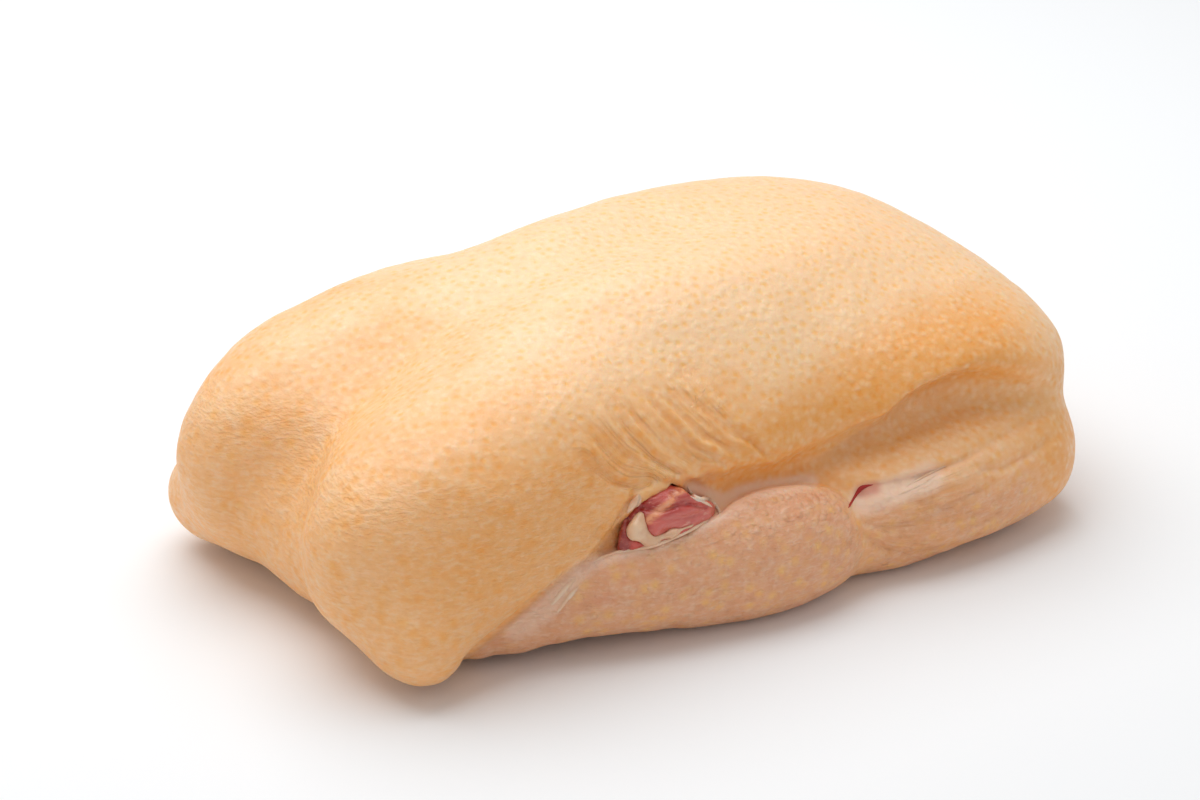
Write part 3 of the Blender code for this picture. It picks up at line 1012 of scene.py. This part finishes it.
# %% The follicles and the finish on the skin
skin_finish = skin_material()
use_tree(
    duck_skin,
    follicle_tree(),
    {
        "Spacing": 2.7 * MM, "Width": 1.2 * MM, "Depth": 0.06 * MM,
        "Most per square metre": 200000.0, "Seed": 7, "Finish": skin_finish,
    },
)
duck_skin.data.shade_smooth()
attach(duck_skin, "root")
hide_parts("duck")
print("numbers kept on the skin:", duck_skin.data.attributes.keys())

# %% [markdown]
# ## The cut wing end
#
# At the elbow the wing is cut through. Dark red muscle bulges out of the skin, wet, with paler
# streaks of membrane, and a cream crescent of gristle caps the joint below it.

# %% Shapes of the meat and the gristle
STUMP_CELL = 0.5 * MM
STUMP_REACH = 0.030  # from the middle of the wing's cut end to each side of its grid
UNDER_SKIN = 0.6 * MM  # how far meat and gristle reach under the edge of the skin
MEAT_FOLDS = (
    (((642, 508), (660, 512), (676, 506), (690, 505), (705, 507)), 2.6, 1.3),
    (((673, 494), (680, 500), (688, 503)), 2.2, 0.7),
    (((628, 512), (630, 530), (628, 548)), 2.2, 0.9),
    (((655, 520), (680, 518), (705, 512)), 2.0, 0.4),
)
FAT_STREAK = ((682, 489), (673, 496), (669, 504), (658, 512), (649, 520))
FLAT_PART = ((660, 528), (682, 520), (705, 512))
# Painted shade on the lower left of the meat, beside the gap at the flap.
PAINTED_SHADE_PART = ((622, 520), (622, 548))
DEEP_RED = (0.42, 0.020, 0.014)
CLEAR_RED = (0.64, 0.075, 0.050)
FLAT_PINK = (0.70, 0.16, 0.125)
SHADED_RED = (0.26, 0.018, 0.012)
FIBRE = (0.74, 0.24, 0.17)
MEAT_FAT = (0.88, 0.36, 0.17)
VEIL = (0.88, 0.48, 0.34)


def meat(p, side):
    u, v = in_picture(p, side)
    lumps = 0.8 * noise(p, 0.0062, 21) + 0.2 * noise(p, 0.0013, 23)
    lumps = lumps + 0.45 * noise((p[0] * 0.6, p[1], p[2]), 0.0028, 22)  # longer along the wing
    for path, width, depth in MEAT_FOLDS:
        lumps = lumps - depth * falloff(from_path(u, v, path)[0], width)
    shape = smooth_max(meat_shape(p, side) - lumps * MM, outside_opening(p, side) - UNDER_SKIN, 0.0008)
    return smooth_max(shape, -0.1 * MM - gristle(p, side), 0.0003)


def gristle(p, side):
    lumps = 0.45 * noise(p, 0.0040, 24) + 0.2 * noise(p, 0.0015, 25)
    shape = gristle_shape(p, side) - lumps * MM
    return smooth_max(shape, outside_opening(p, side) - UNDER_SKIN, 0.0008)


# %% Their materials
def meat_material():
    made, tree, shader, where = material("wing meat", 0.30)
    fibres = texture_noise(tree, where, 220.0, 4.0, 0.6, (0.5, 1.6, 2.2))
    blotch = texture_noise(tree, where, 110.0, 3.0)
    veil = texture_noise(tree, where, 330.0, 5.0, 0.65, (0.6, 1.0, 1.6))
    colour = mixed(tree, ranged(tree, blotch, 0.38, 0.62), DEEP_RED, CLEAR_RED)
    colour = mixed(tree, times(tree, attribute(tree, "flat_part"), 0.8), colour, FLAT_PINK)
    # Painted shade over the lower left of the meat.
    colour = mixed(tree, times(tree, attribute(tree, "painted_shade_part"), 0.85), colour, SHADED_RED)
    colour = mixed(tree, ranged(tree, fibres, 0.45, 0.75, 0.0, 0.6), colour, FIBRE)
    fat = times(tree, attribute(tree, "fat_streak"), ranged(tree, veil, 0.32, 0.58))
    colour = mixed(tree, fat, colour, MEAT_FAT)
    colour = mixed(tree, ranged(tree, veil, 0.58, 0.72, 0.0, 0.5), colour, VEIL)
    tree.links.new(colour, shader.inputs["Base Color"])
    soaked(shader, 0.2, (1.0, 0.25, 0.15), 3.0 * MM)
    wet(shader, 0.5, 0.15)
    raised(tree, shader, plus(tree, fibres, times(tree, veil, 0.5)), 0.7, MM)
    return made


def gristle_material():
    made, tree, shader, where = material("wing gristle", 0.33)
    cloud = texture_noise(tree, where, 160.0, 3.0)
    fine = texture_noise(tree, where, 600.0, 3.0, 0.6)
    colour = mixed(tree, ranged(tree, cloud, 0.35, 0.65), (0.74, 0.45, 0.27), (0.84, 0.59, 0.39))
    colour = mixed(tree, ranged(tree, fine, 0.55, 0.75, 0.0, 0.35), colour, (0.80, 0.42, 0.30))
    tree.links.new(colour, shader.inputs["Base Color"])
    soaked(shader, 0.3, (1.0, 0.6, 0.4), 3.0 * MM)
    wet(shader, 0.35, 0.2)
    raised(tree, shader, plus(tree, cloud, times(tree, fine, 0.5)), 0.5, 0.6 * MM)
    return made


# %% Both wing ends
finishes = {"meat": meat_material(), "gristle": gristle_material()}
covering = [duck_skin]
for side, word in ((LEFT, "left"), (RIGHT, "right")):
    centre = at_side((-0.0440, 0.0780, 0.0415), side)
    low = [c - STUMP_REACH for c in centre]
    high = [c + STUMP_REACH for c in centre]
    for kind, field in (("meat", meat), ("gristle", gristle)):
        points, quads = surface_of(lambda p: field(p, side), STUMP_CELL, low, high)
        piece = mesh_object(word + "_" + kind, points, quads)
        piece.data.materials.append(finishes[kind])
        if kind == "meat":
            u, v = in_picture(tuple(points.T), side)
            store(piece, "fat_streak", near_path(u, v, FAT_STREAK, 1, 7))
            store(piece, "flat_part", near_path(u, v, FLAT_PART, 5, 14))
            store(piece, "painted_shade_part", near_path(u, v, PAINTED_SHADE_PART, 3, 13))
        covering.append(piece)
        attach(piece, "root")
        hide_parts(word + "_wing_" + kind)
        print(piece.name, "quads:", len(quads))


# %% [markdown]
# ## Membranes and the fatty rim
#
# Thin tissue shows wherever the skin was opened: a pale fatty edge along the wing's cut skin,
# strands over the meat, a tag of skin, and sinews that run down under the thigh. Each is a tube
# that follows a path over the surface beneath it. A node tree sweeps a small circle along the
# path, as thick at each point as the tissue is there.

# %% Paths laid on the surface
def search_tree(pieces):
    """One search tree over the faces of several pieces."""
    points, faces = [], []
    for piece in pieces:
        first = len(points)
        points += points_of(piece).tolist()
        faces += [[first + k for k in face.vertices] for face in piece.data.polygons]
    return BVHTree.FromPolygons(points, faces)


surface = search_tree(covering)


def laid_on(path, side, lift):
    """Points of the surface under a smooth path in the picture, raised by a lift in metres."""
    flat = [(u, v, 0.0) for u, v in path]
    smooth = smooth_path(flat, [0.0] * len(flat), 6)[0][:, :2]
    mirror = np.array((1.0, -side, 1.0))
    laid = []
    for u, v in smooth:
        sight = sight_line(u, v)
        place = surface.ray_cast(Vector(EYE * mirror), Vector(sight * mirror))[0]
        if place is not None:
            laid.append(np.array(place) - sight * mirror * lift)
    laid = np.array(laid)
    for again in range(3):
        laid[1:-1] = 0.5 * laid[1:-1] + 0.25 * (laid[:-2] + laid[2:])
    return laid


# %% A strand along a path
def strand_tree():
    inputs = (("Path", "Geometry"), ("Sides", "Int"), ("Finish", "Material"))
    tree, given = start_tree("Strand along a path", inputs, "Strand")
    curve = wired(tree, "GeometryNodeMeshToCurve", {"Mesh": given["Path"]}).outputs[0]
    inputs = {"Name": "thickness"}
    thick = wired(tree, "GeometryNodeInputNamedAttribute", inputs, data_type="FLOAT").outputs[0]
    inputs = {"Radius": 1.0, "Resolution": given["Sides"]}
    ring = wired(tree, "GeometryNodeCurvePrimitiveCircle", inputs).outputs[0]
    inputs = {"Curve": curve, "Profile Curve": ring, "Scale": thick, "Fill Caps": True}
    strand = wired(tree, "GeometryNodeCurveToMesh", inputs).outputs[0]
    end_tree(tree, strand, given["Finish"])
    return tree


def tissue_material(name, dark, light, roughness=0.32, film=0.3):
    made, tree, shader, where = material(name, roughness)
    cloud = texture_noise(tree, where, 240.0, 3.0)
    tree.links.new(mixed(tree, ranged(tree, cloud, 0.35, 0.65), dark, light), shader.inputs["Base Color"])
    soaked(shader, 0.35, (1.0, 0.6, 0.4), 3.0 * MM)
    wet(shader, film, 0.2)
    raised(tree, shader, texture_noise(tree, where, 900.0, 3.0, 0.6), 0.5, 0.5 * MM)
    return made


# %% The strands and their paths
PALE_TISSUE = tissue_material("membrane", (0.88, 0.64, 0.48), (0.94, 0.78, 0.62))
FATTY_TISSUE = tissue_material("fatty edge", (0.88, 0.52, 0.33), (0.93, 0.63, 0.45), 0.5, 0.08)
TAG_TISSUE = tissue_material("skin tag", (0.78, 0.44, 0.26), (0.85, 0.55, 0.37))
RAW_TISSUE = tissue_material("raw edge", (0.34, 0.006, 0.003), (0.48, 0.024, 0.012), 0.6, 0.0)

# Each piece: its finish, its slot, and its strands. Each strand: its path in the picture, its
# thickness in millimetres at the middle, and how far it is raised.
STRANDS = {
    "fatty_rim": (FATTY_TISSUE, "skin", (
        (
            ((572, 571), (590, 563), (617, 553), (647, 547), (675, 537), (700, 524), (716, 515), (724, 510)),
            0.85, -0.4,
        ),
    )),
    "membranes": (PALE_TISSUE, "gristle", (
        (
            ((687, 486), (690, 492), (693, 496), (700, 499), (708, 500), (714, 504), (719, 511), (720, 515)),
            0.85, 0.1,
        ),
        (((690, 496), (697, 500), (706, 503), (712, 507)), 0.50, -0.1),
    )),
    "skin_tag": (TAG_TISSUE, "skin", (
        (((639, 494), (636, 500), (632, 506), (627, 513)), 1.0, 0.2),
        (((640, 495), (639, 501), (636, 507)), 0.70, 0.3),
    )),
    "sinews": (FATTY_TISSUE, "skin", (
        (((582, 572), (568, 585), (556, 599), (545, 613)), 1.0, -0.60),
        (((594, 570), (577, 588), (563, 604), (552, 619)), 0.9, -0.60),
    )),
    "slit_edge": (RAW_TISSUE, "meat", (
        (((848, 508), (851, 503), (855, 496), (860, 489), (866, 486), (876, 484)), 0.70, -0.30),
    )),
    "slit_membranes": (FATTY_TISSUE, "skin", (
        (((903, 489), (918, 480), (934, 471), (947, 465)), 0.55, -0.28),
        (((893, 497), (910, 490), (926, 482), (940, 473)), 0.50, -0.28),
    )),
}

# %% Sweep them
sweep_tree = strand_tree()
for side, word in ((LEFT, "left"), (RIGHT, "right")):
    for kind, (tissue, slot, strands) in STRANDS.items():
        points, edges, thickness = [], [], []
        for path, width, lift in strands:
            laid = laid_on(path, side, lift * MM)
            share = np.clip(np.linspace(0.0, 1.0, len(laid)), 0.02, 0.98)
            swell = np.sin(np.pi * share) ** 0.5 * (1.0 + 0.35 * noise(tuple(laid.T), 0.004, 31))
            edges += [(len(points) + k, len(points) + k + 1) for k in range(len(laid) - 1)]
            points += laid.tolist()
            thickness += (swell * width * MM).tolist()
        mesh = bpy.data.meshes.new(word + "_" + kind)
        mesh.from_pydata(points, edges, [])
        piece = bpy.data.objects.new(word + "_" + kind, mesh)
        bpy.context.scene.collection.objects.link(piece)
        store(piece, "thickness", np.array(thickness))
        use_tree(piece, sweep_tree, {"Sides": 10, "Finish": tissue})
        piece.data.shade_smooth()
        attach(piece, "root")
        print(piece.name, "faces:", len(piece.data.polygons))

# %% [markdown]
# ## Floor and light
#
# The bird lies on a wide pale floor under one large soft box, which hangs a little behind it and
# to the left as the camera sees it. Soft light from all round fills the shadows, so the skin keeps
# its own colour everywhere.

# %% Floor and light
FLOOR_HALF = 3.0
floor = mesh_object(
    "floor",
    np.array([(x, y, 0.0) for x, y in ((-1, -1), (1, -1), (1, 1), (-1, 1))]) * FLOOR_HALF,
    np.array([(0, 1, 2, 3)]),
)
floor_finish, tree, shader, where = material("pale floor", 0.8)
shader.inputs["Base Color"].default_value = (0.91, 0.925, 0.94, 1.0)
floor.data.materials.append(floor_finish)
floor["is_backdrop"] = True

world = bpy.data.worlds.new("studio")
world.use_nodes = True
world.node_tree.nodes["Background"].inputs["Color"].default_value = (1.0, 1.0, 1.0, 1.0)
world.node_tree.nodes["Background"].inputs["Strength"].default_value = 0.50
bpy.context.scene.world = world
bpy.context.scene.view_settings.view_transform = "Standard"

lamp_data = bpy.data.lights.new("soft box", "AREA")
lamp_data.size = 1.3
lamp_data.energy = 11.0
lamp = bpy.data.objects.new("soft box", lamp_data)
place = np.array((0.0, 0.0, 1.0)) + 0.28 * LEVEL - 0.22 * RIGHTWARD
lamp.location = place
lamp.rotation_mode = "QUATERNION"
lamp.rotation_quaternion = Vector(-place).to_track_quat("-Z", "Y")
bpy.context.scene.collection.objects.link(lamp)

low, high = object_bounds()
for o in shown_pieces():
    print(o.name, triangles_of(o))
